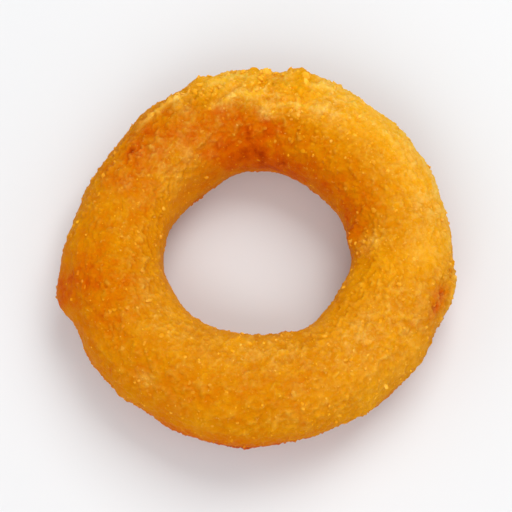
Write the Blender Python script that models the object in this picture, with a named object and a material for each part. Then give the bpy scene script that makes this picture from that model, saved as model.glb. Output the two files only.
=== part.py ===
"""A battered and fried onion ring, lying flat on its underside.

The ring is one solid: a tube of crust swept round a closed midline. The tube is thicker
in some places than in others, its crust swells in soft lumps and carries a few knobs,
folds and beads, and its underside is pressed flat where the ring lies.

Units are metres, +Z is up, and the origin is the middle of the underside.
Run it with: blender --background --python part.py
"""

import math

import bmesh
import bpy
import numpy as np

MM = 0.001

# Driving dimensions
MIDLINE_RADIUS = 27.9 * MM  # from the middle of the hole to the middle of the tube
TUBE_HALF_WIDTH = 10.1 * MM
TUBE_HALF_HEIGHT = 9.6 * MM
FOOT_DEPTH = 0.55 * MM  # how far the underside is pressed in where the ring lies

# How the ring departs from a true round: (waves per turn, height, degrees where it peaks)
MIDLINE_WAVES = (
    (2, 0.40 * MM, 49),
    (3, 0.22 * MM, -30),
    (4, 0.35 * MM, 3),
)
THICKNESS_WAVES = (
    (1, 0.32 * MM, -62),
    (2, 0.40 * MM, 71),
    (5, 0.14 * MM, -20),
)
WARP_WAVES = (
    (2, 0.25 * MM, 20),
    (3, 0.15 * MM, 75),
)

# The soft lumps of the crust, a sum of plane waves in many directions
LUMP_SEED = 5
LUMP_COUNT = 48
LUMP_SPACING = (8 * MM, 20 * MM)
LUMP_HEIGHT = 0.22 * MM

# What stands out of the crust, or lies hollow in it where the height is below 0: degrees
# round the ring, degrees round the tube (0 faces outwards, 90 up, 180 into the hole),
# height, reach along the tube, reach across it
CRUST_FEATURES = {
    "edge_knob": (-13, 8, 0.5 * MM, 4.2 * MM, 2.2 * MM),
    "pinched_fold": (190, 2, 1.7 * MM, 5.4 * MM, 3.4 * MM),
    "crest_flake": (78, 28, 1.2 * MM, 2.3 * MM, 2.4 * MM),
    "shoulder_knob": (108, 20, 0.9 * MM, 2.2 * MM, 2.6 * MM),
    "rough_crest": (92, 78, 0.8 * MM, 8.0 * MM, 2.8 * MM),
    "rough_lip": (66, 126, 0.6 * MM, 6.0 * MM, 2.4 * MM),
    "hole_nub": (9, 158, 1.1 * MM, 1.9 * MM, 2.0 * MM),
    "hole_bead_left": (260, 142, 0.6 * MM, 2.4 * MM, 1.8 * MM),
    "hole_bead_right": (286, 150, 0.6 * MM, 2.2 * MM, 1.8 * MM),
    "lower_kink": (226, -6, 0.3 * MM, 2.6 * MM, 3.0 * MM),
    "far_drip": (138, -24, 1.1 * MM, 3.0 * MM, 3.2 * MM),
    "near_drip": (312, -30, 0.8 * MM, 4.2 * MM, 2.6 * MM),
    "under_knob": (38, 236, 0.8 * MM, 2.6 * MM, 2.6 * MM),
    "under_fold": (208, 222, 0.7 * MM, 4.6 * MM, 2.4 * MM),
    "near_inner_swell": (270, 162, 1.3 * MM, 8.5 * MM, 6.0 * MM),
    "right_inner_swell": (343, 165, 0.8 * MM, 4.6 * MM, 5.0 * MM),
    "far_left_inner_hollow": (133, 162, -1.0 * MM, 6.5 * MM, 6.0 * MM),
    "far_left_shoulder": (122, 14, 0.6 * MM, 6.0 * MM, 6.0 * MM),
    "near_left_hollow": (246, -14, -1.2 * MM, 5.8 * MM, 6.5 * MM),
    "near_outer_hollow": (283, -14, -1.15 * MM, 15.0 * MM, 6.5 * MM),
}

# How finely the solid is cut into faces
STATIONS_ROUND_RING = 112
POINTS_ROUND_TUBE = 38

CRUST_COLOUR = (0.74, 0.33, 0.045, 1.0)
CRUST_ROUGHNESS = 0.5


def clear_scene():
    for old in list(bpy.data.objects):
        bpy.data.objects.remove(old, do_unlink=True)


def waves(turn, table):
    """The sum of the table's cosine waves at each angle round the ring."""
    return sum(
        height * np.cos(count * (turn - math.radians(peak)))
        for count, height, peak in table
    )


def grid_angles():
    """The angle round the ring of each station, as a column, and the angle round the
    tube of each of its points, as a row."""
    turn = np.arange(STATIONS_ROUND_RING)[:, None] * (2 * math.pi / STATIONS_ROUND_RING)
    roll = np.arange(POINTS_ROUND_TUBE)[None, :] * (2 * math.pi / POINTS_ROUND_TUBE)
    return turn, roll


def tube_points(turn, roll, swell):
    """Points of the swept tube, each one swollen outwards from the midline by swell. The
    midline rises where the tube is thicker, so the ring lies level on its underside."""
    thicker = waves(turn, THICKNESS_WAVES)
    outwards = (TUBE_HALF_WIDTH + thicker + swell) * np.cos(roll)
    upwards = (TUBE_HALF_HEIGHT + thicker + swell) * np.sin(roll)
    radius = MIDLINE_RADIUS + waves(turn, MIDLINE_WAVES) + outwards
    height = waves(turn, WARP_WAVES) + thicker + upwards
    return np.stack(
        [radius * np.cos(turn), radius * np.sin(turn), height + 0 * radius], axis=-1
    )


def crust_lumps(points):
    """The soft lumps: plane waves of seeded random directions, lengths and phases."""
    random = np.random.default_rng(LUMP_SEED)
    lumps = np.zeros(points.shape[:-1])
    for _ in range(LUMP_COUNT):
        direction = random.normal(size=3)
        direction /= np.linalg.norm(direction)
        spacing = random.uniform(*LUMP_SPACING)
        phase = random.uniform(0, 2 * math.pi)
        lumps += np.sin(points @ direction * (2 * math.pi / spacing) + phase)
    return LUMP_HEIGHT * lumps / math.sqrt(LUMP_COUNT / 2)


def crust_features(turn, roll):
    """The knobs, folds and beads: bell-shaped swells, each with its own reach along and
    across the tube."""
    swell = np.zeros(np.broadcast_shapes(turn.shape, roll.shape))
    for ring_degrees, tube_degrees, height, along, across in CRUST_FEATURES.values():
        turn_apart = np.angle(np.exp(1j * (turn - math.radians(ring_degrees))))
        roll_apart = np.angle(np.exp(1j * (roll - math.radians(tube_degrees))))
        radius = MIDLINE_RADIUS + TUBE_HALF_WIDTH * math.cos(math.radians(tube_degrees))
        distance = (turn_apart * radius / along) ** 2
        distance = distance + (roll_apart * TUBE_HALF_WIDTH / across) ** 2
        swell += height * np.exp(-distance)
    return swell


def press_foot(points):
    """The points set down on z = 0, with what would lie below it pressed flat, and
    centred over the origin."""
    low = points.reshape(-1, 3).min(axis=0)
    high = points.reshape(-1, 3).max(axis=0)
    middle = (low + high) / 2
    placed = points - np.array([middle[0], middle[1], low[2] + FOOT_DEPTH])
    placed[..., 2] = np.maximum(placed[..., 2], 0)
    return placed


def ring_points():
    turn, roll = grid_angles()
    smooth = tube_points(turn, roll, 0)
    swell = crust_lumps(smooth) + crust_features(turn, roll)
    return press_foot(tube_points(turn, roll, swell))


def crust_material():
    material = bpy.data.materials.new("fried_batter")
    material.use_nodes = True
    shader = material.node_tree.nodes["Principled BSDF"]
    shader.inputs["Base Color"].default_value = CRUST_COLOUR
    shader.inputs["Roughness"].default_value = CRUST_ROUGHNESS
    shader.inputs["Metallic"].default_value = 0.0
    return material


def build_onion_ring():
    """The crust as a closed net of four-sided faces, one loop of them for each station."""
    points = ring_points()
    net = bmesh.new()
    loops = [[net.verts.new(point) for point in station] for station in points]
    for i, loop in enumerate(loops):
        following = loops[(i + 1) % len(loops)]
        for j in range(len(loop)):
            k = (j + 1) % len(loop)
            net.faces.new((loop[j], following[j], following[k], loop[k]))
    mesh = bpy.data.meshes.new("onion_ring")
    net.to_mesh(mesh)
    net.free()
    mesh.shade_smooth()
    mesh.materials.append(crust_material())
    ring = bpy.data.objects.new("onion_ring", mesh)
    bpy.context.scene.collection.objects.link(ring)
    return ring


clear_scene()
build_onion_ring()
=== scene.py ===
"""Looks of a battered and fried onion ring, lying flat on a pale studio floor.

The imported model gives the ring's plain solid. This script lays the real crust over the
same form: a finely meshed skin with its swells, crumbs, creases and thin raised plates,
the golden and the pale sand of batter that stands out of it, the crumbs that cling to
it, and the ragged flakes along its far crest. Lengths are metres, +Z is up, and the
origin is the middle of the underside. An angle round the ring is 0 at +X and 90 at +Y.
An angle round the tube is 0 where the crust faces outwards, 90 where it faces up and
180 where it faces the hole.
"""

from __future__ import annotations

import logging
import math
from dataclasses import dataclass, field
from enum import Enum

import bpy
import numpy as np
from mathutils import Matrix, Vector


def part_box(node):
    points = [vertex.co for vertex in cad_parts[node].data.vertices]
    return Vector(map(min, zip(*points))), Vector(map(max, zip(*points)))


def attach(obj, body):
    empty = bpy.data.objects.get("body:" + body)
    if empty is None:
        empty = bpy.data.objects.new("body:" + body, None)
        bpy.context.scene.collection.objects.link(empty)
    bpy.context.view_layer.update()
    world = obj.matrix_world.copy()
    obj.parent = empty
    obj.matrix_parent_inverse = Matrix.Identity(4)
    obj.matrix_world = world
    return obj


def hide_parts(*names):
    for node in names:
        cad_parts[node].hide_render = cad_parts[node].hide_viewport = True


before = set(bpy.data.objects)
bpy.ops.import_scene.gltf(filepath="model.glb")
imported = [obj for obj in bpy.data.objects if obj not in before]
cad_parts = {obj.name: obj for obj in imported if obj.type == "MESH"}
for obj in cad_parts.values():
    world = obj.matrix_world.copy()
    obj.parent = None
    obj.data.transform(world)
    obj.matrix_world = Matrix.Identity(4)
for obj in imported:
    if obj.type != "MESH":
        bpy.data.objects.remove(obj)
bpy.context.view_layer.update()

LOG = logging.getLogger("onion_ring")
BODY = "root"
NODE = "onion_ring"
# These attributes hold the crust's toasting and dryness, with painted shade and painted highlight
# in them.
TOAST_AND_LIGHT = "toast_and_light"
DRYNESS_AND_LIGHT = "dryness_and_light"
BAKE_MAP = "OFBake"
MM = 0.001
FULL_TURN = 2 * math.pi

Array = np.ndarray
Colour = tuple[float, float, float, float]
Row = tuple[float, float, float, float, float]


def linear(red: int, green: int, blue: int) -> Colour:
    """Turns a colour as a screen shows it into the linear one that shaders take.

    This is the usual curve of a screen: a straight foot, and a power of 2.4 above it.

    Args:
        red: The screen's red, from 0 to 255.
        green: The screen's green, from 0 to 255.
        blue: The screen's blue, from 0 to 255.

    Returns:
        The linear colour with an alpha of 1.
    """
    shown = np.array([red, green, blue]) / 255
    mixed = np.where(shown <= 0.04045, shown / 12.92, ((shown + 0.055) / 1.055) ** 2.4)
    return (float(mixed[0]), float(mixed[1]), float(mixed[2]), 1.0)


def smooth_step(low: float, high: float, value: Array) -> Array:
    """Rises from 0 at low to 1 at high, level at both ends: 3t^2 - 2t^3."""
    share = np.clip((value - low) / (high - low), 0, 1)
    return share * share * (3 - 2 * share)


def angle_apart(angle: Array, degrees: float) -> Array:
    """The shorter way round from the degrees to each angle, as an angle."""
    return np.angle(np.exp(1j * (angle - math.radians(degrees))))


@dataclass(frozen=True)
class Places:
    """Places on the crust: the angle of each round the ring and round the tube."""

    turn: Array
    roll: Array


def even_grid(stations: int, points: int) -> Places:
    """Spaces places evenly round the ring and round the tube.

    Args:
        stations: How many angles there are round the ring.
        points: How many angles there are round the tube.

    Returns:
        The places, with the angles round the ring as a column and round the tube as a
        row.
    """
    turn = np.arange(stations)[:, None] * FULL_TURN / stations
    roll = np.arange(points)[None, :] * FULL_TURN / points
    return Places(turn, roll)


@dataclass(frozen=True)
class Wave:
    """One cosine wave round the ring: its waves per turn, height and where it peaks."""

    count: int
    height: float
    peak_degrees: float


@dataclass(frozen=True)
class Patch:
    """A soft-edged patch of the crust, with its reach along and across the tube."""

    ring_degrees: float
    tube_degrees: float
    amount: float
    along: float
    across: float

    def spread(self, at: Places, form: RingForm) -> Array:
        """Works out how strongly the patch acts at each place.

        The amount fades as a bell: amount * exp(-(a / along)^2 - (b / across)^2), where
        a is how far the place lies along the tube and b how far it lies round it.

        Args:
            at: The places.
            form: The ring that the patch lies on.

        Returns:
            The patch's share of its amount at each place.
        """
        lever = form.tube_half_width * math.cos(math.radians(self.tube_degrees))
        along = angle_apart(at.turn, self.ring_degrees) * (form.midline_radius + lever)
        across = angle_apart(at.roll, self.tube_degrees) * form.tube_half_width
        return self.amount * np.exp(-((along / self.along) ** 2) - (across / self.across) ** 2)


def patches(*rows: Row, unit: float = 1.0) -> tuple[Patch, ...]:
    """Makes patches from rows of numbers.

    Args:
        rows: The degrees round the ring and round the tube of each patch, its amount,
            and its reach along and across the tube in millimetres.
        unit: What the amounts are counted in.

    Returns:
        The patches.
    """
    return tuple(
        Patch(ring, tube, amount * unit, along * MM, across * MM)
        for ring, tube, amount, along, across in rows
    )


@dataclass(frozen=True)
class RingForm:
    """The ring's form, the same as the solid's: a swept tube with lumps and knobs.

    The features' rows are those that patches takes, with their heights in millimetres.
    """

    midline_radius: float = 27.9 * MM
    tube_half_width: float = 10.1 * MM
    tube_half_height: float = 9.6 * MM
    foot_depth: float = 0.55 * MM
    midline_waves: tuple[Wave, ...] = (
        Wave(2, 0.40 * MM, 49),
        Wave(3, 0.22 * MM, -30),
        Wave(4, 0.35 * MM, 3),
    )
    thickness_waves: tuple[Wave, ...] = (
        Wave(1, 0.32 * MM, -62),
        Wave(2, 0.40 * MM, 71),
        Wave(5, 0.14 * MM, -20),
    )
    warp_waves: tuple[Wave, ...] = (
        Wave(2, 0.25 * MM, 20),
        Wave(3, 0.15 * MM, 75),
    )
    lump_seed: int = 5
    lump_count: int = 48
    lump_spacing: tuple[float, float] = (8 * MM, 20 * MM)
    lump_height: float = 0.22 * MM
    features: dict[str, Row] = field(
        default_factory=lambda: {
            "edge_knob": (-13, 8, 0.5, 4.2, 2.2),
            "pinched_fold": (190, 2, 1.7, 5.4, 3.4),
            "crest_flake": (78, 28, 1.2, 2.3, 2.4),
            "shoulder_knob": (108, 20, 0.9, 2.2, 2.6),
            "rough_crest": (92, 78, 0.8, 8, 2.8),
            "rough_lip": (66, 126, 0.6, 6, 2.4),
            "hole_nub": (9, 158, 1.1, 1.9, 2),
            "hole_bead_left": (260, 142, 0.6, 2.4, 1.8),
            "hole_bead_right": (286, 150, 0.6, 2.2, 1.8),
            "lower_kink": (226, -6, 0.3, 2.6, 3),
            "far_drip": (138, -24, 1.1, 3, 3.2),
            "near_drip": (312, -30, 0.8, 4.2, 2.6),
            "under_knob": (38, 236, 0.8, 2.6, 2.6),
            "under_fold": (208, 222, 0.7, 4.6, 2.4),
            "near_inner_swell": (270, 162, 1.3, 8.5, 6),
            "right_inner_swell": (343, 165, 0.8, 4.6, 5),
            "far_left_inner_hollow": (133, 162, -1, 6.5, 6),
            "far_left_shoulder": (122, 14, 0.6, 6, 6),
            "near_left_hollow": (246, -14, -1.2, 5.8, 6.5),
            "near_outer_hollow": (283, -14, -1.15, 15, 6.5),
        }
    )
    solid_stations: int = 112
    solid_points: int = 38
    press_softness: float = 0.22 * MM

    @staticmethod
    def waves(turn: Array, table: tuple[Wave, ...]) -> Array:
        """The sum of the table's cosine waves at each angle round the ring."""
        return sum(
            wave.height * np.cos(wave.count * (turn - math.radians(wave.peak_degrees)))
            for wave in table
        )

    def tube(self, at: Places, swell: Array | float = 0.0) -> Array:
        """Carries the tube's oval section round the ring.

        A point lies on an oval whose half axes are the tube's, each grown by the swell
        and by how much thicker the tube is there. The oval's middle lies on the midline,
        whose radius and height wave round the ring.

        Args:
            at: The places.
            swell: How far each point stands out of the plain tube.

        Returns:
            The points, with X, Y and Z along the last axis.
        """
        thicker = self.waves(at.turn, self.thickness_waves)
        outwards = (self.tube_half_width + thicker + swell) * np.cos(at.roll)
        upwards = (self.tube_half_height + thicker + swell) * np.sin(at.roll)
        radius = self.midline_radius + self.waves(at.turn, self.midline_waves) + outwards
        height = self.waves(at.turn, self.warp_waves) + thicker + upwards
        return np.stack(
            [radius * np.cos(at.turn), radius * np.sin(at.turn), height + 0 * radius], axis=-1
        )

    def lumps(self, points: Array) -> Array:
        """Works out the soft lumps, a sum of plane waves.

        Each wave's direction, length and phase are seeded random numbers.

        Args:
            points: The points of the plain tube.

        Returns:
            The height of the lumps at each point.
        """
        random = np.random.default_rng(self.lump_seed)
        lumps = np.zeros(points.shape[:-1])
        for _ in range(self.lump_count):
            direction = random.normal(size=3)
            direction /= np.linalg.norm(direction)
            spacing = random.uniform(*self.lump_spacing)
            phase = random.uniform(0, FULL_TURN)
            lumps += np.sin(points @ direction * (FULL_TURN / spacing) + phase)
        return self.lump_height * lumps / math.sqrt(self.lump_count / 2)

    def swell(self, at: Places) -> Array:
        """How far the solid's lumps, knobs and folds stand out of the plain tube."""
        features = patches(*self.features.values(), unit=MM)
        return self.lumps(self.tube(at)) + sum(knob.spread(at, self) for knob in features)

    def resting_shift(self) -> Array:
        """Works out what puts the ring where its solid lies.

        Returns:
            The point that becomes the origin: the middle of the solid's own net of
            points in plan, and the foot's depth above its lowest point.
        """
        at = even_grid(self.solid_stations, self.solid_points)
        net = self.tube(at, self.swell(at)).reshape(-1, 3)
        low = net.min(axis=0)
        middle = (low + net.max(axis=0)) / 2
        return np.array([middle[0], middle[1], low[2] + self.foot_depth])

    def press(self, points: Array) -> Array:
        """Presses the underside softly on z = 0.

        A height under the softness s becomes s * exp(height / s - 1), which leaves the
        surface without a step and nears 0 where it would have sunk deepest.

        Args:
            points: The points, with X, Y and Z along the last axis.

        Returns:
            The pressed points.
        """
        pressed = points.copy()
        softness = self.press_softness
        under = np.minimum(points[..., 2] / softness, 1)
        pressed[..., 2] = np.maximum(points[..., 2], softness * np.exp(under - 1))
        return pressed


class SpaceNoise:
    """Seeded noise in space, from a block of random directions that repeats."""

    SIDE = 64
    SPREAD = 1.7

    def __init__(self, seed: int) -> None:
        """Draws the block: a unit direction for each of its cells.

        Args:
            seed: What the random numbers start from.
        """
        random = np.random.default_rng(seed)
        directions = random.normal(size=(self.SIDE, self.SIDE, self.SIDE, 3))
        self.directions = directions / np.linalg.norm(directions, axis=-1, keepdims=True)

    def smooth(self, points: Array, spacing: float | Array) -> Array:
        """Gradient noise of about -1 to 1.

        Each corner of the cell round a point gives the point's offset from it times the
        corner's direction, and the eight are blended with the curve 6t^5 - 15t^4 + 10t^3.

        Args:
            points: Where to read the noise.
            spacing: The size of a cell, or its size along each axis.

        Returns:
            The noise at each point.
        """
        scaled = points / spacing
        cell = np.floor(scaled).astype(int)
        inside = scaled - cell
        fade = inside**3 * (inside * (inside * 6 - 15) + 10)
        total = np.zeros(points.shape[:-1])
        for corner in np.ndindex(2, 2, 2):
            near = np.array(corner)
            x, y, z = np.moveaxis((cell + near) % self.SIDE, -1, 0)
            reach = np.where(near, fade, 1 - fade).prod(axis=-1)
            total += reach * ((inside - near) * self.directions[x, y, z]).sum(axis=-1)
        return total * self.SPREAD


@dataclass(frozen=True)
class Ripple:
    """One noise of the crust: the size of its waves, its shift and its strength.

    The shift in the block of noise sets it apart from the others.
    """

    spacing: float
    shift: float
    strength: float = 1.0


@dataclass(frozen=True)
class Plate:
    """A thin layer of crust that lies over the rest and ends in a ragged edge.

    It covers the outer side of its edge, and thins out away from it. Wander gives the
    sizes and strengths of the noises that its edge follows.
    """

    ring_degrees: float
    edge_degrees: float
    height: float
    along: float
    raggedness: float
    seed: float
    lean: float = 0.0
    reach: float = 5.0 * MM
    slope: float = 0.22 * MM
    wander: tuple[tuple[float, float], ...] = ((2.6 * MM, 1.0), (1.1 * MM, 0.6))
    pale_width: float = 0.5 * MM
    pale_middle: float = 0.7
    full_height: float = 0.35 * MM

    def inside(self, at: Places, crust: Crust) -> Array:
        """Works out how far inside the plate's ragged edge each place lies.

        Args:
            at: The places.
            crust: The crust that the plate lies on.

        Returns:
            The distance round the tube from the edge, which is below 0 off the plate.
        """
        form = crust.form
        line = (at.turn * form.midline_radius + 0 * at.roll)[..., None]
        line = np.concatenate([line, 0 * line + self.seed * MM, 0 * line], axis=-1)
        wander = sum(share * crust.noise.smooth(line, size) for size, share in self.wander)
        lean = self.lean * angle_apart(at.turn, self.ring_degrees)
        edge = math.radians(self.edge_degrees) + lean - at.roll
        return edge * form.tube_half_width + self.raggedness * wander

    def window(self, at: Places, crust: Crust) -> Array:
        """The plate's share along the ring: exp(-(a / along)^4) at a from its middle."""
        apart = angle_apart(at.turn, self.ring_degrees) * crust.form.midline_radius
        return np.exp(-((apart / self.along) ** 4))

    def rise(self, at: Places, crust: Crust) -> Array:
        """Works out how far the plate raises the crust.

        It steps up at the edge, and fades as a bell further in.

        Args:
            at: The places.
            crust: The crust that the plate lies on.

        Returns:
            The plate's height at each place.
        """
        inside = self.inside(at, crust)
        cover = smooth_step(-self.slope, self.slope, inside)
        cover = cover * np.exp(-((np.maximum(inside, 0) / self.reach) ** 2))
        return self.height * cover * self.window(at, crust)

    def fading(self, at: Places, crust: Crust) -> Array:
        """Works out where the plate's edge is pale: a bell just inside the edge.

        Args:
            at: The places.
            crust: The crust that the plate lies on.

        Returns:
            How strongly each place lies on the pale edge, from 0 to 1. The edge of a
            thin plate is fainter.
        """
        inside = self.inside(at, crust) / self.pale_width
        fade = np.exp(-((inside - self.pale_middle) ** 2)) * self.window(at, crust)
        return fade * min(self.height / self.full_height, 1.0)


@dataclass
class Crust:
    """The crust laid over the ring's form: its fine relief and how far it is fried.

    The crumbs are layers of noise, each with its depth. Crumb step gives the values of
    the noise between which a crumb rises, and crumb level is the share of its depth by
    which its foot lies under the solid's form. Calms gives the cosines of the tube's
    angle between which the crumbs grow weaker, and by how much: first on the wall of the
    hole and then on the outer wall. A rough place's amount is how rough it is, below 0
    where it is smooth. A crease's is its height, and the others' add to the toasting or
    the dryness. Some of the toasting and dryness is painted light: painted shade on the
    walls of the hole, in a notch of the far crest, where a neighbouring ring shades the
    far left, on the left outer side and along the near lower rim, and painted highlight
    on the outer shoulder.
    """

    form: RingForm
    seed: int = 17
    swells: Ripple = Ripple(5.6 * MM, 0.0, 0.13 * MM)
    bumps: Ripple = Ripple(2.7 * MM, 7 * MM, 0.08 * MM)
    rough_bumps: float = 0.5
    crumb_layers: tuple[tuple[Ripple, float], ...] = (
        (Ripple(2.3 * MM, 23 * MM), 0.20 * MM),
        (Ripple(1.3 * MM, 32 * MM), 0.34 * MM),
        (Ripple(0.75 * MM, 41 * MM), 0.40 * MM),
    )
    crumb_step: tuple[float, float] = (-0.15, 0.75)
    crumb_level: float = 0.32
    crumb_strength: Ripple = Ripple(9 * MM, 31 * MM, 0.35)
    least_strength: float = 0.15
    rough_strength: float = 0.6
    calms: tuple[tuple[float, float, float], ...] = ((-0.6, -0.95, 0.55), (0.7, 0.95, 0.28))
    ridge_spacing: tuple[float, float, float] = (3.4 * MM, 1.9 * MM, 1.9 * MM)
    ridge_height: float = 0.42 * MM
    ridge_sharpness: float = 3.2
    ridge_curve: float = 1.5
    most_ridged: float = 1.2
    facing_step: float = 0.25 * MM
    base_toast: float = 0.446
    mottle: Ripple = Ripple(7.5 * MM, 13 * MM, 0.06)
    blotches: tuple[Ripple, ...] = (
        Ripple(2.6 * MM, 19 * MM),
        Ripple(1.43 * MM, 41 * MM, 0.7),
    )
    blotch_toast: float = 0.06
    blotch_patches: float = 0.15
    # Crumbs that stand out are paler: pale crumb, and a painted highlight on their tops.
    raised_toast_and_highlight: float = -0.07
    # Painted shade: the crust is made darker where the tube turns under, towards the floor.
    under_shade: float = 0.26
    under_shade_sines: tuple[float, float] = (0.0, -0.5)
    edge_toast: float = -0.26
    base_dryness: float = 0.08
    # Crumbs that stand out are more floury: flour, and a painted highlight on their tops.
    raised_dryness_and_highlight: float = 0.16
    dry_patches: Ripple = Ripple(2.6 * MM, 47 * MM, 0.45)
    edge_dryness: float = 0.85
    rough_places: tuple[Patch, ...] = patches(
        # The far crest and its lip, the far left, the nub in the hole and the outer knob
        (90, 62, 1.2, 15, 6.5),
        (66, 124, 0.6, 9, 4),
        (140, 50, 0.5, 6, 6),
        (9, 150, 0.9, 4, 3),
        (-13, 24, 0.7, 5, 4),
        # Smoother: the pinched fold and the far wall of the hole
        (190, 22, -0.9, 13, 6),
        (88, 150, -0.6, 22, 5),
    )
    plates: tuple[Plate, ...] = (
        Plate(95, 83, 0.42 * MM, 6.0 * MM, 0.7 * MM, 3),
        Plate(71, 86, 0.30 * MM, 8.0 * MM, 0.8 * MM, 11, 0.5),
        Plate(98, 52, 0.35 * MM, 5.0 * MM, 0.9 * MM, 15, -0.6),
        Plate(66, 54, 0.30 * MM, 5.0 * MM, 0.9 * MM, 31, 0.4),
        Plate(124, 48, 0.26 * MM, 5.0 * MM, 0.8 * MM, 19),
        Plate(36, 62, 0.16 * MM, 9.0 * MM, 0.9 * MM, 27),
    )
    creases: tuple[Patch, ...] = patches(
        # The pits and creases of the outer knob
        (-14, 34, -0.34, 1.3, 1.2),
        (-19, 34, -0.34, 1.5, 1.2),
        (-23, 29, -0.2, 2, 1.2),
        (-6.5, 22, -0.2, 1, 0.8),
        (-13, 2, -0.4, 4, 2.4),
        # The fold, the far left pit, the far wall of the hole and the near outer wall
        (183, 30, -0.35, 3, 1.1),
        (142, 57, -0.45, 0.8, 0.7),
        (88, 112, -0.18, 3.2, 1.2),
        (97, 146, -0.2, 2.8, 1.4),
        (262, -2, -0.25, 5, 0.9),
        unit=MM,
    )
    toasted_and_shaded: tuple[Patch, ...] = patches(
        # The far wall of the hole and the lip above it: toasting, and a deeper orange on the wall
        # that is painted shade
        (92, 152, 0.17, 12, 6.5),
        (94, 171, 0.12, 15, 4),
        (94, 124, 0.13, 7, 5),
        (87, 126, 0.06, 3, 4),
        (99, 160, 0.1, 4, 3),
        (88, 112, 0.08, 2.4, 1.6),
        (106, 98, 0.16, 8, 4.4),
        (114, 121, 0.09, 5, 3.4),
        (64, 118, 0.1, 5, 3.4),
        # Between the flakes of the far crest
        (62, 73, 0.1, 3.6, 2.4),
        (94, 30, 0.14, 1.6, 2.6),
        # Painted shade: the notch in the crest is darkened here in place of its hollow.
        (99, 24, 0.2, 1.7, 3),
        (65.5, 79, 0.11, 3, 2.2),
        (86, 81, 0.13, 1.6, 1.6),
        (98.5, 74, 0.12, 1.5, 1.8),
        (104.5, 85, 0.13, 1.6, 1.8),
        (116, 81, 0.08, 2, 2.4),
        # The right wall of the hole and its lip: toasting, and a deeper orange on the wall that is
        # painted shade
        (46, 158, 0.14, 11, 5),
        (16, 162, 0.13, 6.5, 4.2),
        (28, 122, 0.07, 12, 4.5),
        # From the far left round to the near side, with the outer walls: toasting, and painted
        # shade on the left and near sides
        (138, 58, 0.07, 4.6, 3.6),
        # Painted shadow: the top of the far left is darkened as if a neighbouring ring shaded it.
        (138, 84, 0.17, 9, 8.5),
        # Darker on the left outer side: toasting, and painted shade.
        (191, 36, 0.12, 10, 10),
        (189, 60, 0.08, 6, 4),
        (203, 92, 0.09, 6, 8),
        (239, 60, 0.07, 3.4, 6),
        (281, 75, 0.08, 4, 3),
        (152, 82, 0.06, 4, 5),
        # Painted shade along the near lower rim, with some toasting.
        (268, -4, 0.08, 16, 4),
        (190.5, 14, 0.2, 3, 2.6),
        (244, 62, 0.05, 6, 4),
        (214, 8, 0.06, 13, 6),
        # Mostly painted shade on the near lower rim, where the tube turns under.
        (258, -12, 0.19, 17, 5.6),
        # The outer knob and its pits
        (-17, 38, 0.21, 6.6, 5),
        (-14, 34, 0.27, 1.4, 1.2),
        (-19.5, 33, 0.29, 1.7, 1.3),
        (-6.5, 22, 0.16, 1, 0.8),
        # The far left pit, and the lip by the nub
        (142, 57, 0.3, 1, 0.9),
        (17, 146, 0.045, 8, 5),
    )
    pale: tuple[Patch, ...] = patches(
        # The outer shoulder, from the far side round to the right: pale crust, and painted
        # highlight where the light falls on it
        (66, 46, -0.22, 15, 8),
        (99, 46, -0.34, 7, 6.5),
        (28, 38, -0.24, 19, 7.5),
        (44, 12, -0.22, 24, 4),
        # The plates and flakes of the far crest
        (94, 82, -0.12, 5, 2),
        (117, 52, -0.16, 1.8, 3.4),
        (80, 54, -0.1, 1.2, 3),
        (68, 67, -0.12, 1.4, 2.2),
        (70, 88, -0.08, 9, 3),
        (86, 99, -0.2, 1.8, 1.4),
        # Clumps and soft areas round the rest of the ring
        (3, 131, -0.12, 1.7, 2.4),
        (322, 60, -0.07, 13, 10),
        (134, 122, -0.13, 6, 5.5),
        (223, 132, -0.12, 8, 5),
        (275, 132, -0.09, 7, 4),
        (306, 8, -0.08, 13, 8),
        (-11, 11, -0.24, 4, 1.6),
        (231, 50, -0.12, 1.6, 1.3),
        (353, 84, -0.08, 7, 8),
        (341, 104, -0.07, 4, 4),
        (273, 46, -0.07, 4, 3),
        (330, 138, -0.07, 12, 5),
        (350, 58, -0.05, 8, 5),
        (73, 97, -0.05, 8, 6),
    )
    dry_and_light_places: tuple[Patch, ...] = patches(
        # The far crest, floury on its plates and oily in the gaps between them
        (64.5, 46, 1.2, 4.4, 5.4),
        (83, 32, 0.8, 2.2, 5),
        (98, 42, 0.9, 4.6, 4.5),
        (75, 38, -0.65, 1.5, 6),
        # Less flour in the crest's notch, as painted shade there.
        (99, 24, -0.55, 1.9, 3.6),
        (117, 52, 0.45, 1.8, 3.4),
        (91.5, 34, -0.5, 1.4, 5),
        (95, 82, 0.6, 5, 1.8),
        (70, 86, 0.35, 8, 2),
        (86, 99, 0.9, 1.9, 1.5),
        # The outer shoulder on the right: flour, and painted highlight along its edge
        (26, 40, 0.5, 18, 7),
        (44, 12, 0.8, 24, 4),
        # Clumps and soft areas round the rest of the ring
        (3, 131, 0.75, 1.7, 2.4),
        (133, 112, 0.25, 10, 6),
        (222, 128, 0.28, 12, 6),
        (276, 130, 0.28, 9, 5),
        (318, 96, 0.34, 7, 3.5),
        (330, 62, 0.24, 10, 8),
        (300, 70, 0.15, 14, 9),
        (-10, 11, 0.6, 3.6, 1.5),
        (6, 72, 0.25, 8, 5),
        (231, 50, 0.5, 1.7, 1.4),
        # Oilier: the fold, the wall of the hole and the near outer wall
        (191, 40, -0.2, 10, 9),
        (60, 150, -0.2, 24, 6),
        (262, -10, -0.2, 30, 6),
    )

    def __post_init__(self) -> None:
        """Draws the noise and finds where the ring's solid lies."""
        self.noise = SpaceNoise(self.seed)
        self.origin = self.form.resting_shift()

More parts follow.
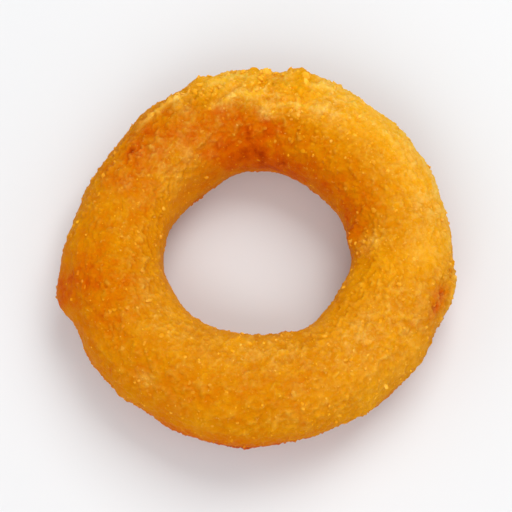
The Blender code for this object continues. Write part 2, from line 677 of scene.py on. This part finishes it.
    def ripple(self, ripple: Ripple, skin: Array) -> Array:
        """The ripple's noise at each point of the plain tube, times its strength."""
        return ripple.strength * self.noise.smooth(skin + ripple.shift, ripple.spacing)

    def total(self, table: tuple[Patch, ...], at: Places) -> Array:
        """What all the table's patches add at each place."""
        return sum(patch.spread(at, self.form) for patch in table)

    def plate_edges(self, at: Places) -> Array:
        """How strongly each place lies on the plates' pale edges."""
        return sum(plate.fading(at, self) for plate in self.plates)

    def grain(self, at: Places) -> Array:
        """Works out the height of the crust's crumbs.

        Each layer is a smooth noise through a smooth step, which makes round clumps that
        stand out of a level crust. The layers are stronger where the crust is rough,
        weaker on the walls, and all but vanish where it is smooth.

        Args:
            at: The places.

        Returns:
            The height of the crumbs at each place, a little under 0 on average.
        """
        skin = self.form.tube(at)
        strength = 1 + self.ripple(self.crumb_strength, skin)
        strength = strength + self.rough_strength * self.total(self.rough_places, at)
        for start, full, calm in self.calms:
            strength = strength - calm * smooth_step(start, full, np.cos(at.roll))
        height = np.zeros(skin.shape[:-1])
        for layer, depth in self.crumb_layers:
            clumps = smooth_step(*self.crumb_step, self.ripple(layer, skin))
            height += depth * (clumps - self.crumb_level)
        return height * np.maximum(strength, self.least_strength)

    def raised(self, at: Places) -> Array:
        """How far the crumbs stand out, as twice their share of the layers' whole depth."""
        return self.grain(at) / sum(depth for _, depth in self.crumb_layers) * 2.0

    def relief(self, at: Places) -> Array:
        """Works out how far the fine crust stands out of the solid's form.

        It is the sum of smooth swells and bumps, the crumbs, the creases, the plates,
        and, where the crust is rough, ridges that are sharp where a smooth noise passes
        through 0.

        Args:
            at: The places.

        Returns:
            The height of the fine crust at each place.
        """
        skin = self.form.tube(at)
        rough = self.total(self.rough_places, at)
        along = at.turn * self.form.midline_radius
        around = at.roll * self.form.tube_half_width
        unrolled = np.stack(np.broadcast_arrays(along, around, 0.0), axis=-1)
        ridge = np.abs(self.noise.smooth(unrolled, np.array(self.ridge_spacing)))
        ridges = np.maximum(1 - ridge * self.ridge_sharpness, 0) ** self.ridge_curve
        return (
            self.ripple(self.swells, skin)
            + self.ripple(self.bumps, skin) * (1 + self.rough_bumps * rough)
            + self.grain(at)
            + self.ridge_height * ridges * np.clip(rough, 0, self.most_ridged)
            + self.total(self.creases, at)
            + sum(plate.rise(at, self) for plate in self.plates)
        )

    def surface(self, at: Places) -> Array:
        """Points of the finished crust, at rest on z = 0."""
        swell = self.form.swell(at) + self.relief(at)
        return self.form.press(self.form.tube(at, swell) - self.origin)

    def facing(self, at: Places) -> Array:
        """Works out which way the crust faces.

        Args:
            at: The places.

        Returns:
            The unit normal at each place: the cross product of the steps from it to a
            place a little further round the ring and one a little further round the tube.
        """
        onwards = Places(at.turn + self.facing_step / self.form.midline_radius, at.roll)
        around = Places(at.turn, at.roll + self.facing_step / self.form.tube_half_width)
        here = self.surface(at)
        normal = np.cross(self.surface(onwards) - here, self.surface(around) - here)
        return normal / np.linalg.norm(normal, axis=-1, keepdims=True)

    def dryness_and_light(self, at: Places) -> Array:
        """Works out how floury and pale the crust is, with painted highlight and painted shade in
        it.

        Args:
            at: The places.

        Returns:
            The dryness at each place, from 0 where the crust is oily to 1 where it is
            all pale flour and crumb: a base level, the dry places, the raised crumbs
            and the plates' edges. The raised crumbs and the dry places on the outer
            shoulder paint highlight, and a less dry place in a notch of the crest paints shade.
        """
        patchy = 1 + self.ripple(self.dry_patches, self.form.tube(at))
        dry_and_light = self.base_dryness + self.total(self.dry_and_light_places, at) * patchy
        # More floury on the raised crumbs, partly a painted highlight on their tops.
        dry_and_light = dry_and_light + self.raised_dryness_and_highlight * self.raised(at)
        return np.clip(dry_and_light + self.edge_dryness * self.plate_edges(at), 0, 1)

    def toast_and_light(self, at: Places) -> Array:
        """Works out how far the crust is fried, with the painted shade and painted highlight that
        its colour also carries.

        Args:
            at: The places.

        Returns:
            The toasting at each place, from 0 for pale to 1 for dark brown: a base level
            with mottles and blotches, paler where the crumbs stand out and along the
            edges of the plates, the toasted and pale patches, and painted shade, darker
            where the tube turns under. The paleness on the crumbs is partly a painted
            highlight, and some of the patches are painted shade and painted highlight.
        """
        skin = self.form.tube(at)
        blotch = sum(self.ripple(ripple, skin) for ripple in self.blotches)
        # Where the tube turns under, for the painted shade there.
        under = smooth_step(*self.under_shade_sines, np.sin(at.roll))
        toast_and_light = self.base_toast + self.ripple(self.mottle, skin) + self.blotch_toast * blotch
        # Paler on the raised crumbs, partly a painted highlight on their tops, and darker below as
        # painted shade.
        toast_and_light = toast_and_light + self.raised_toast_and_highlight * self.raised(at) + self.under_shade * under
        toast_and_light = toast_and_light + self.edge_toast * self.plate_edges(at)
        spots = self.total(self.toasted_and_shaded, at) + self.total(self.pale, at)
        return np.clip(toast_and_light + spots * (1 + self.blotch_patches * blotch), 0, 1)


def piece_from_arrays(name: str, points: Array, faces: Array, corners: Array) -> bpy.types.Object:
    """Makes a smooth-shaded mesh object from arrays.

    Args:
        name: The piece's name.
        points: The points, one row each.
        faces: The faces, one row of point numbers each, all with as many corners.
        corners: The place on the bake map of each corner of each face.

    Returns:
        The new object, linked to the scene and lying at the origin.
    """
    mesh = bpy.data.meshes.new(name)
    mesh.vertices.add(len(points))
    mesh.vertices.foreach_set("co", points.astype(np.float32).ravel())
    mesh.loops.add(faces.size)
    mesh.loops.foreach_set("vertex_index", faces.astype(np.int32).ravel())
    mesh.polygons.add(len(faces))
    starts = np.arange(len(faces), dtype=np.int32) * faces.shape[1]
    mesh.polygons.foreach_set("loop_start", starts)
    mesh.update(calc_edges=True)
    chart = mesh.uv_layers.new(name=BAKE_MAP)
    chart.data.foreach_set("uv", corners.astype(np.float32).ravel())
    mesh.shade_smooth()
    piece = bpy.data.objects.new(name, mesh)
    bpy.context.scene.collection.objects.link(piece)
    return piece


def dress(piece: bpy.types.Object, finish: bpy.types.Material, toast_and_light: Array, dry_and_light: Array) -> None:
    """Gives a piece its values and its material, and sets it on the ring's body.

    Args:
        piece: The piece.
        finish: Its material.
        toast_and_light: How far each of its points is fried, with painted shade and painted
            highlight.
        dry_and_light: How floury each of its points is, with painted highlight and painted shade.
    """
    for name, values in ((TOAST_AND_LIGHT, toast_and_light), (DRYNESS_AND_LIGHT, dry_and_light)):
        attribute = piece.data.attributes.new(name, "FLOAT", "POINT")
        attribute.data.foreach_set("value", values.astype(np.float32).ravel())
    piece.data.materials.append(finish)
    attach(piece, BODY)


@dataclass
class CrustSkin:
    """The ring itself: the crust as one closed net of fine four-sided faces."""

    crust: Crust
    stations: int = 600
    points: int = 166
    crowding: float = 0.42

    def places(self) -> Places:
        """The net's places, which crowd to the top of the tube: s + crowding * cos(s)."""
        even = even_grid(self.stations, self.points)
        return Places(even.turn, even.roll + self.crowding * np.cos(even.roll))

    def build(self, finish: bpy.types.Material) -> bpy.types.Object:
        """Builds the skin and dresses it.

        Args:
            finish: The crust's material.

        Returns:
            The skin, riding on the ring's body in place of its solid.
        """
        at = self.places()
        i, j = np.indices((self.stations, self.points)).reshape(2, -1)
        corners = ((i, j), (i + 1, j), (i + 1, j + 1), (i, j + 1))
        wrapped = [
            (i % self.stations) * self.points + j % self.points for i, j in corners
        ]
        charted = [
            np.stack([i / self.stations, j / self.points], axis=-1) for i, j in corners
        ]
        skin = piece_from_arrays(
            "crust_skin",
            self.crust.surface(at).reshape(-1, 3),
            np.stack(wrapped, axis=-1),
            np.stack(charted, axis=1),
        )
        dress(skin, finish, self.crust.toast_and_light(at), self.crust.dryness_and_light(at))
        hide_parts(NODE)
        return skin


@dataclass(frozen=True)
class GrainRecipe:
    """What one kind of loose matter on the crust is like.

    Half lengths are of a grain's longest axis, flatness is its thickness over its
    length, sunk is the share of its thickness that lies in the crust, and everywhere is
    how dense the kind is away from its places, next to a place's own amount. Placed
    gives single grains their degrees round the ring and round the tube.
    """

    count: int
    half_lengths: tuple[float, float]
    slimness: tuple[float, float]
    flatness: tuple[float, float]
    sunk: float
    tilt_degrees: float
    raggedness: float
    rows: int
    columns: int
    toast_shift: float
    toast_spread: float
    dryness_shift: float
    everywhere: float
    places: tuple[Patch, ...]
    seed: int
    placed: tuple[tuple[float, float], ...] = ()


class GrainKind(Enum):
    """The kinds of loose matter on the crust, each with its recipe."""

    GOLDEN_SAND = GrainRecipe(
        count=1300,
        half_lengths=(0.20 * MM, 0.55 * MM),
        slimness=(0.5, 0.95),
        flatness=(0.28, 0.45),
        sunk=0.66,
        tilt_degrees=22,
        raggedness=0.8,
        rows=3,
        columns=8,
        toast_shift=-0.06,
        toast_spread=0.05,
        dryness_shift=0.20,
        everywhere=1.0,
        places=patches(
            (90, 60, 0.8, 14, 7),
            (9, 150, 1.5, 4, 3),
            (190, 22, -0.8, 12, 6),
        ),
        seed=41,
    )
    # Small pale grains: pale crumbs, whose brightness also serves as painted glints on the crust.
    PALE_SAND_AND_GLINTS = GrainRecipe(
        count=1500,
        half_lengths=(0.12 * MM, 0.32 * MM),
        slimness=(0.4, 0.8),
        flatness=(0.35, 0.6),
        sunk=0.62,
        tilt_degrees=30,
        raggedness=0.8,
        rows=2,
        columns=6,
        toast_shift=-0.19,
        toast_spread=0.08,
        dryness_shift=0.34,
        everywhere=1.0,
        places=patches(
            (90, 60, 1.5, 14, 7),
            (9, 150, 1, 3, 2.4),
            (190, 22, -0.8, 12, 6),
        ),
        seed=44,
    )
    CRUMB = GrainRecipe(
        count=160,
        half_lengths=(0.26 * MM, 0.52 * MM),
        slimness=(0.6, 0.95),
        flatness=(0.45, 0.75),
        sunk=0.6,
        tilt_degrees=25,
        raggedness=0.34,
        rows=6,
        columns=10,
        toast_shift=-0.14,
        toast_spread=0.08,
        dryness_shift=0.40,
        everywhere=0.12,
        places=patches(
            (88, 52, 3, 12, 5),
            (80, 92, 4, 4, 2),
            (-13, 12, 5, 3, 2),
            (66, 128, 3, 5, 2.4),
            (260, 142, 4, 2.6, 2),
            (286, 150, 4, 2.4, 2),
        ),
        seed=42,
        placed=(
            (4.5, 160), (4, 152), (3.5, 140), (6, 137), (3.5, 131), (1.5, 123), (-1.5, 152),
            (14, 95), (-6, 79), (35, 108), (316, 99), (337.5, 78), (282, 75), (210, 99), (233, 86),
            (245, 97),
        ),
    )
    FLAKE = GrainRecipe(
        count=46,
        half_lengths=(0.55 * MM, 0.95 * MM),
        slimness=(0.5, 0.8),
        flatness=(0.2, 0.32),
        sunk=0.62,
        tilt_degrees=12,
        raggedness=0.4,
        rows=6,
        columns=14,
        toast_shift=-0.10,
        toast_spread=0.06,
        dryness_shift=0.30,
        everywhere=0.04,
        places=patches(
            (86, 48, 3, 11, 4.5),
            (108, 40, 1.5, 6, 3.5),
            (62, 118, 1.2, 6, 3),
            (141, 52, 1, 4, 3.5),
        ),
        seed=43,
    )


@dataclass
class Grains:
    """One kind of loose matter, scattered over the crust and half sunk in it.

    Tries is how many places are drawn for each grain that is wanted. A size curve above
    1 makes the small grains commoner. Blob room is the span of noise that the shapes
    are taken from, and chart reach is half the width of a grain on its square of the
    bake map.
    """

    crust: Crust
    kind: GrainKind
    shapes: int = 16
    floor_gap: float = 1.3 * MM
    tries: int = 60
    clumping: float = 0.6
    clump_spacing: float = 4 * MM
    least_chance: float = 0.1
    size_curve: float = 1.6
    blob_spacing: float = 0.9
    blob_room: float = 60.0
    chart_reach: float = 0.45

    def scatter(self, random: np.random.Generator) -> Places:
        """Draws where the grains lie.

        Places are drawn evenly in both angles and kept with a chance that follows the
        area of crust there, the kind's density, and a patchy noise. None lies near the
        floor. The kind's placed grains come before them.

        Args:
            random: The seeded source of random numbers.

        Returns:
            The grains' places.
        """
        recipe = self.kind.value
        form = self.crust.form
        turn = random.uniform(0, FULL_TURN, recipe.count * self.tries)
        roll = random.uniform(0, FULL_TURN, recipe.count * self.tries)
        drawn = Places(turn, roll)
        area = form.midline_radius + form.tube_half_width * np.cos(roll)
        dense = recipe.everywhere + self.crust.total(recipe.places, drawn)
        skin = form.tube(drawn)
        clumps = self.crust.noise.smooth(skin + recipe.seed * MM, self.clump_spacing)
        patchy = np.maximum(1 + self.clumping * clumps, self.least_chance)
        clear = skin[..., 2] - self.crust.origin[2] > self.floor_gap
        chance = area * dense * patchy * clear
        kept = random.random(len(turn)) < chance / chance.max()
        placed = np.radians(np.array(recipe.placed).reshape(-1, 2))
        turn = np.concatenate([placed[:, 0], turn[kept][: recipe.count]])
        roll = np.concatenate([placed[:, 1], roll[kept][: recipe.count]])
        return Places(turn, roll)

    def half_axes(self, normal: Array, random: np.random.Generator) -> tuple[Array, Array]:
        """Draws how the grains lean and how large they are.

        Args:
            normal: Which way the crust faces at each grain.
            random: The seeded source of random numbers.

        Returns:
            The three half axes of each grain, and half its thickness.
        """
        recipe = self.kind.value
        count = len(normal)
        lean = math.tan(math.radians(recipe.tilt_degrees))
        up = normal + lean * random.uniform(-1, 1, (count, 3))
        up /= np.linalg.norm(up, axis=-1, keepdims=True)
        side = np.cross(up, random.normal(size=(count, 3)))
        side /= np.linalg.norm(side, axis=-1, keepdims=True)
        size = random.uniform(0, 1, count) ** self.size_curve
        long_half = recipe.half_lengths[0] + size * np.ptp(recipe.half_lengths)
        wide_half = long_half * random.uniform(*recipe.slimness, count)
        thick_half = long_half * random.uniform(*recipe.flatness, count)
        halves = np.stack([long_half, wide_half, thick_half], axis=-1)
        axes = np.stack([side, np.cross(up, side), up], axis=1)
        return axes * halves[..., None], thick_half

    def blobs(self, random: np.random.Generator) -> Array:
        """Makes the kind's shapes: unit balls whose radius follows a smooth noise.

        Args:
            random: The seeded source of random numbers.

        Returns:
            The points of each shape: the two poles, then row by row.
        """
        recipe = self.kind.value
        down = np.arange(1, recipe.rows + 1) * math.pi / (recipe.rows + 1)
        around = np.arange(recipe.columns) * FULL_TURN / recipe.columns
        down, around = np.meshgrid(down, around, indexing="ij")
        rows = np.stack(
            [np.sin(down) * np.cos(around), np.sin(down) * np.sin(around), np.cos(down)],
            axis=-1,
        ).reshape(-1, 3)
        ball = np.concatenate([[[0, 0, 1], [0, 0, -1]], rows])
        apart = random.uniform(0, self.blob_room, (self.shapes, 1, 3))
        noise = self.crust.noise.smooth(ball + apart, self.blob_spacing)
        return ball * (1 + recipe.raggedness * noise)[..., None]

    def net(self) -> Array:
        """Numbers the corners of one shape's three-sided faces.

        Returns:
            The faces: a fan round the upper pole, bands of two faces for each pair of
            neighbouring points, and a fan round the lower pole.
        """
        recipe = self.kind.value
        here = np.arange(recipe.columns)
        onward = (here + 1) % recipe.columns
        last = 2 + (recipe.rows - 1) * recipe.columns
        faces = [np.stack([here * 0, 2 + here, 2 + onward], axis=-1)]
        for row in range(recipe.rows - 1):
            upper = 2 + row * recipe.columns
            lower = upper + recipe.columns
            faces.append(np.stack([upper + here, lower + here, lower + onward], axis=-1))
            faces.append(np.stack([upper + here, lower + onward, upper + onward], axis=-1))
        faces.append(np.stack([here * 0 + 1, last + onward, last + here], axis=-1))
        return np.concatenate(faces)

    def chart(self, grains: int) -> Array:
        """Gives each grain a square of the bake map, with its shape seen from above.

        The lower pole would lie on the upper one, so its fan is folded flat at the rim.

        Args:
            grains: How many grains there are.

        Returns:
            The place on the map of each corner of each face.
        """
        recipe = self.kind.value
        rows = np.repeat(np.arange(1, recipe.rows + 1), recipe.columns)
        reach = np.concatenate([[0, 0], rows]) / (recipe.rows + 1)
        around = np.tile(np.arange(recipe.columns), recipe.rows) * FULL_TURN / recipe.columns
        around = np.concatenate([[0, 0], around])
        disc = np.stack([reach * np.cos(around), reach * np.sin(around)], axis=-1)
        net = self.net()
        corners = disc[net]
        corners[-recipe.columns :, 0] = disc[net[-recipe.columns :, 1]]
        side = math.ceil(math.sqrt(grains))
        number = np.arange(grains)
        square = np.stack([number % side, number // side], axis=-1)
        return (square[:, None, None, :] + 0.5 + self.chart_reach * corners[None]) / side

    def build(self, finish: bpy.types.Material) -> bpy.types.Object:
        """Builds all the grains of the kind as one piece and dresses it.

        A grain is paler and more floury than the crust under it, and less so where that
        is browned.

        Args:
            finish: The grains' material.

        Returns:
            The piece, riding on the ring's body.
        """
        recipe = self.kind.value
        random = np.random.default_rng(recipe.seed)
        at = self.scatter(random)
        count = len(at.turn)
        normal = self.crust.facing(at)
        axes, thick_half = self.half_axes(normal, random)
        blobs = self.blobs(random)[random.integers(0, self.shapes, count)]
        centre = self.crust.surface(at) + normal * (thick_half * (1 - 2 * recipe.sunk))[:, None]
        points = centre[:, None, :] + blobs @ axes
        points[..., 2] = np.maximum(points[..., 2], 0)
        per_grain = points.shape[1]
        faces = self.net()[None] + (np.arange(count) * per_grain)[:, None, None]
        piece = piece_from_arrays(
            self.kind.name.lower(), points.reshape(-1, 3), faces.reshape(-1, 3), self.chart(count)
        )
        piece.data.shade_flat()
        under = self.crust.toast_and_light(at)
        floury = np.clip((1 - under) / (1 - self.crust.base_toast), 0, 1)
        toast_and_light = under + recipe.toast_shift + recipe.toast_spread * random.normal(size=count)
        dry_and_light = self.crust.dryness_and_light(at) + recipe.dryness_shift * floury
        toast_and_light, dry_and_light = (np.repeat(np.clip(value, 0, 1), per_grain) for value in (toast_and_light, dry_and_light))
        dress(piece, finish, toast_and_light, dry_and_light)
        return piece


@dataclass(frozen=True)
class Cloud:
    """A noise of a material: the length of its waves and how many finer layers it has.

    The offset is its fourth coordinate, which no two noises share, and the bend is how
    far it is bent by itself.
    """

    size: float
    detail: float
    offset: float
    bend: float = 0.0


@dataclass(frozen=True)
class Dusting:
    """Soft-edged spots of flour, which follow a noise.

    They fade in between the low and the high value of the noise, and cover their share
    of the crust's colour.
    """

    cloud: Cloud
    low: float
    high: float
    share: float


class NodeKit:
    """A new material, with short ways to add the nodes that it needs.

    Its noises share one roughness, the strength of each finer layer next to the last.
    """

    NOISE_ROUGHNESS = 0.6

    def __init__(self, name: str) -> None:
        """Makes the material with a plain shader.

        Args:
            name: The material's name.
        """
        self.material = bpy.data.materials.new(name)
        self.material.use_nodes = True
        self.nodes = self.material.node_tree.nodes
        self.links = self.material.node_tree.links
        self.shader = self.nodes["Principled BSDF"]

    def attribute(self, name: str) -> bpy.types.NodeSocket:
        """Adds one of the mesh's attributes.

        Args:
            name: The attribute's name.

        Returns:
            The socket of its value.
        """
        node = self.nodes.new("ShaderNodeAttribute")
        node.attribute_name = name
        return node.outputs["Fac"]

    def noise(self, cloud: Cloud) -> bpy.types.NodeSocket:
        """Adds a noise on Object coordinates.

        Args:
            cloud: What the noise is like.

        Returns:
            The socket of its value.
        """
        place = self.nodes.new("ShaderNodeTexCoord")
        noise = self.nodes.new("ShaderNodeTexNoise")
        noise.noise_dimensions = "4D"
        noise.inputs["W"].default_value = cloud.offset
        noise.inputs["Scale"].default_value = 1 / cloud.size
        noise.inputs["Detail"].default_value = cloud.detail
        noise.inputs["Roughness"].default_value = self.NOISE_ROUGHNESS
        noise.inputs["Distortion"].default_value = cloud.bend
        self.links.new(place.outputs["Object"], noise.inputs["Vector"])
        return noise.outputs["Fac"]

    def combine(
        self,
        operation: str,
        first: bpy.types.NodeSocket,
        *others: bpy.types.NodeSocket | float,
    ) -> bpy.types.NodeSocket:
        """Adds a sum, a product or another operation.

        Args:
            operation: The Math node's operation.
            first: The first value.
            others: The further values, each a socket or a number.

        Returns:
            The socket of the result.
        """
        node = self.nodes.new("ShaderNodeMath")
        node.operation = operation
        self.links.new(first, node.inputs[0])
        for place, other in enumerate(others, start=1):
            if isinstance(other, float):
                node.inputs[place].default_value = other
            else:
                self.links.new(other, node.inputs[place])
        return node.outputs[0]

    def shift(self, cloud: bpy.types.NodeSocket, amount: float) -> bpy.types.NodeSocket:
        """Turns a noise of 0 to 1 into a shift by up to half the amount either way."""
        return self.combine("MULTIPLY_ADD", cloud, amount, -amount / 2)

    def spots(self, dusting: Dusting) -> bpy.types.NodeSocket:
        """Adds the spots of a dusting.

        Args:
            dusting: What the spots are like.

        Returns:
            The socket of their strength, from 0 off the spots to 1 on them.
        """
        spots = self.nodes.new("ShaderNodeMapRange")
        spots.interpolation_type = "SMOOTHSTEP"
        spots.inputs["From Min"].default_value = dusting.low
        spots.inputs["From Max"].default_value = dusting.high
        self.links.new(self.noise(dusting.cloud), spots.inputs["Value"])
        return spots.outputs["Result"]

    def ramp(
        self, level: bpy.types.NodeSocket, stops: tuple[tuple[float, Colour], ...]
    ) -> bpy.types.NodeSocket:
        """Adds a ramp of colours.

        Args:
            level: What picks the colour, from 0 to 1.
            stops: Where each colour lies on the ramp, from 0 to 1.

        Returns:
            The socket of the colour.
        """
        ramp = self.nodes.new("ShaderNodeValToRGB")
        elements = ramp.color_ramp.elements
        for position, _ in stops[1:-1]:
            elements.new(position)
        for element, (position, colour) in zip(elements, stops):
            element.position = position
            element.color = colour
        self.links.new(level, ramp.inputs["Fac"])
        return ramp.outputs["Color"]


@dataclass(frozen=True)
class FriedBatter:
    """Fried batter: golden where it is oily and paler where it is dry and floury.

    The stops run from pale over gold, orange and brown to the darkest crust.
    """

    name: str
    stops: tuple[tuple[float, Colour], ...] = (
        (0.0, linear(250, 186, 38)),
        (0.25, linear(241, 164, 12)),
        (0.45, linear(219, 137, 3)),
        (0.62, linear(214, 116, 1)),
        (0.76, linear(208, 90, 0)),
        (0.9, linear(172, 57, 0)),
        (1.0, linear(136, 46, 2)),
    )
    speckle: Cloud = Cloud(0.7 * MM, 2.0, 1.0)
    speckle_toast: float = 0.14
    fleck: Cloud = Cloud(2.2 * MM, 3.0, 2.0)
    fleck_toast: float = 0.19
    flour: Colour = linear(253, 210, 108)
    dabs: Dusting = Dusting(Cloud(1.0 * MM, 4.0, 4.0, 0.6), 0.42, 0.66, 0.50)
    smears: Dusting = Dusting(Cloud(3.0 * MM, 4.0, 6.0, 0.5), 0.46, 0.62, 0.30)
    dots: Dusting = Dusting(Cloud(0.8 * MM, 3.0, 5.0), 0.64, 0.74, 0.45)
    least_flour: float = 0.06
    flour_height: float = 0.35
    grit: Cloud = Cloud(0.5 * MM, 5.0, 3.0, 0.3)
    bump_depth: float = 0.46 * MM
    roughness: tuple[float, float] = (0.38, 0.62)
    gloss: float = 0.035
    gloss_tint: Colour = (1.0, 0.75, 0.25, 1.0)
    glow: float = 0.18
    glow_reach: float = 1.3 * MM
    glow_tint: tuple[float, float, float] = (1.0, 0.34, 0.08)

    def build(self) -> bpy.types.Material:
        """Builds the material.

        The toasting attribute, which also holds painted shade and painted highlight, is shifted by
        two fine noises and picks a colour from a ramp.
        Flour covers it in soft dabs and wider smears whose share grows with the dryness
        attribute, and in a few small dots everywhere. The roughness follows the finer
        noise, and the bump is a gritty noise with the flour raised on it.

        Returns:
            The material.
        """
        kit = NodeKit(self.name)
        speckle = kit.noise(self.speckle)
        level = kit.combine("ADD", kit.attribute(TOAST_AND_LIGHT), kit.shift(speckle, self.speckle_toast))
        level = kit.combine("ADD", level, kit.shift(kit.noise(self.fleck), self.fleck_toast))

        cover = self.least_flour
        for dusting in (self.dabs, self.smears):
            cover = kit.combine("MULTIPLY_ADD", kit.spots(dusting), dusting.share, cover)
        cover = kit.combine("MULTIPLY", cover, kit.attribute(DRYNESS_AND_LIGHT))
        cover = kit.combine("MULTIPLY_ADD", kit.spots(self.dots), self.dots.share, cover)
        floury = kit.nodes.new("ShaderNodeMix")
        floury.data_type = "RGBA"
        floury.inputs["B"].default_value = self.flour
        kit.links.new(cover, floury.inputs["Factor"])
        kit.links.new(kit.ramp(level, self.stops), floury.inputs["A"])

        low, high = self.roughness
        rough = kit.combine("MULTIPLY_ADD", speckle, high - low, low)
        bump = kit.nodes.new("ShaderNodeBump")
        bump.inputs["Strength"].default_value = 1.0
        bump.inputs["Distance"].default_value = self.bump_depth
        height = kit.combine("MULTIPLY_ADD", cover, self.flour_height, kit.noise(self.grit))
        kit.links.new(height, bump.inputs["Height"])

        inputs = kit.shader.inputs
        kit.links.new(floury.outputs["Result"], inputs["Base Color"])
        kit.links.new(rough, inputs["Roughness"])
        kit.links.new(bump.outputs["Normal"], inputs["Normal"])
        inputs["Specular IOR Level"].default_value = self.gloss
        inputs["Specular Tint"].default_value = self.gloss_tint
        inputs["Subsurface Weight"].default_value = self.glow
        inputs["Subsurface Radius"].default_value = self.glow_tint
        inputs["Subsurface Scale"].default_value = self.glow_reach
        return kit.material


@dataclass(frozen=True)
class SoftBox:
    """A square studio light that faces the ring, named by its direction from it."""

    name: str
    compass_degrees: float
    height_degrees: float
    distance: float
    side: float
    watts: float
    tint: tuple[float, float, float] = (1.0, 1.0, 1.0)


@dataclass
class Studio:
    """The pale floor, the soft lights and the camera that looks down on the ring."""

    target: tuple[float, float, float]
    floor_half: float = 0.9
    floor_gap: float = 0.05 * MM
    floor_colour: Colour = linear(226, 227, 229)
    floor_roughness: float = 0.9
    sky_colour: Colour = linear(250, 250, 250)
    sky_strength: float = 0.45
    backdrop_strength: float = 0.97
    camera_height_degrees: float = 72.0
    camera_distance: float = 0.56
    lens: float = 202.0
    sensor: float = 36.0
    clip_start: float = 0.01
    boxes: tuple[SoftBox, ...] = (
        SoftBox("key_light", 62, 56, 0.9, 0.60, 4.85, (1.0, 0.99, 0.97)),
        SoftBox("fill_light", 262, 44, 1.1, 0.8, 5.0),
        SoftBox("left_light", 192, 34, 1.1, 0.8, 1.8),
        SoftBox("right_light", 328, 34, 1.1, 0.8, 1.5),
    )

    def place(
        self, thing: bpy.types.Object, compass: float, height: float, distance: float
    ) -> None:
        """Puts a light or the camera in its place and turns it to the target.

        It lies that far from the target, the way that the two angles point:
        (cos h * cos c, cos h * sin c, sin h).

        Args:
            thing: The light or camera.
            compass: The degrees from +X towards +Y.
            height: The degrees above level.
            distance: How far off it is.
        """
        turn, rise = math.radians(compass), math.radians(height)
        way = [math.cos(rise) * math.cos(turn), math.cos(rise) * math.sin(turn), math.sin(rise)]
        thing.location = np.array(self.target) + np.array(way) * distance
        towards = Vector(self.target) - thing.location
        thing.rotation_euler = towards.to_track_quat("-Z", "Y").to_euler()
        bpy.context.scene.collection.objects.link(thing)

    def add_floor(self) -> None:
        """Adds the pale floor, just under the ring."""
        half = self.floor_half
        mesh = bpy.data.meshes.new("studio_floor")
        corners = [(-half, -half), (half, -half), (half, half), (-half, half)]
        mesh.from_pydata([(x, y, -self.floor_gap) for x, y in corners], [], [(0, 1, 2, 3)])
        kit = NodeKit("white_floor")
        kit.shader.inputs["Base Color"].default_value = self.floor_colour
        kit.shader.inputs["Roughness"].default_value = self.floor_roughness
        kit.shader.inputs["Specular IOR Level"].default_value = 0.0
        mesh.materials.append(kit.material)
        floor = bpy.data.objects.new("studio_floor", mesh)
        bpy.context.scene.collection.objects.link(floor)

    def add_sky(self) -> None:
        """Lights the scene evenly from all round, before a backdrop that is brighter to
        the camera than the light that it gives."""
        world = bpy.data.worlds.new("studio")
        world.use_nodes = True
        nodes, links = world.node_tree.nodes, world.node_tree.links
        sky = nodes["Background"]
        sky.inputs["Color"].default_value = self.sky_colour
        path = nodes.new("ShaderNodeLightPath")
        strength = nodes.new("ShaderNodeMapRange")
        strength.inputs["To Min"].default_value = self.sky_strength
        strength.inputs["To Max"].default_value = self.backdrop_strength
        links.new(path.outputs["Is Camera Ray"], strength.inputs["Value"])
        links.new(strength.outputs["Result"], sky.inputs["Strength"])
        bpy.context.scene.world = world

    def add_lights(self) -> None:
        """Adds the soft boxes, each facing the ring."""
        for box in self.boxes:
            lamp = bpy.data.lights.new(box.name, "AREA")
            lamp.shape = "SQUARE"
            lamp.size = box.side
            lamp.energy = box.watts
            lamp.color = box.tint
            light = bpy.data.objects.new(box.name, lamp)
            self.place(light, box.compass_degrees, box.height_degrees, box.distance)

    def add_camera(self) -> None:
        """Adds the camera, south of the ring and high above it."""
        lens = bpy.data.cameras.new("camera")
        lens.lens = self.lens
        lens.sensor_width = self.sensor
        lens.clip_start = self.clip_start
        camera = bpy.data.objects.new("camera", lens)
        self.place(camera, -90, self.camera_height_degrees, self.camera_distance)
        bpy.context.scene.camera = camera

    def build(self) -> None:
        """Builds the whole studio and sets how its light is shown."""
        self.add_floor()
        self.add_sky()
        self.add_lights()
        self.add_camera()
        bpy.context.scene.view_settings.view_transform = "Standard"


def main() -> None:
    """Builds the ring's crust, what lies on it and the studio round it."""
    logging.basicConfig(level=logging.INFO, format="%(name)s: %(message)s")
    low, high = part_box(NODE)
    Studio(target=tuple((low + high) / 2)).build()
    crust = Crust(RingForm())
    skin = CrustSkin(crust).build(FriedBatter("fried_crust").build())
    LOG.info("%s has %d faces", skin.name, len(skin.data.polygons))
    toasted_and_shaded = FriedBatter("toasted_grain", bump_depth=0.05 * MM, glow=0.0).build()
    for kind in GrainKind:
        piece = Grains(crust, kind).build(toasted_and_shaded)
        LOG.info("%s has %d faces", piece.name, len(piece.data.polygons))


if __name__ == "__main__":
    main()
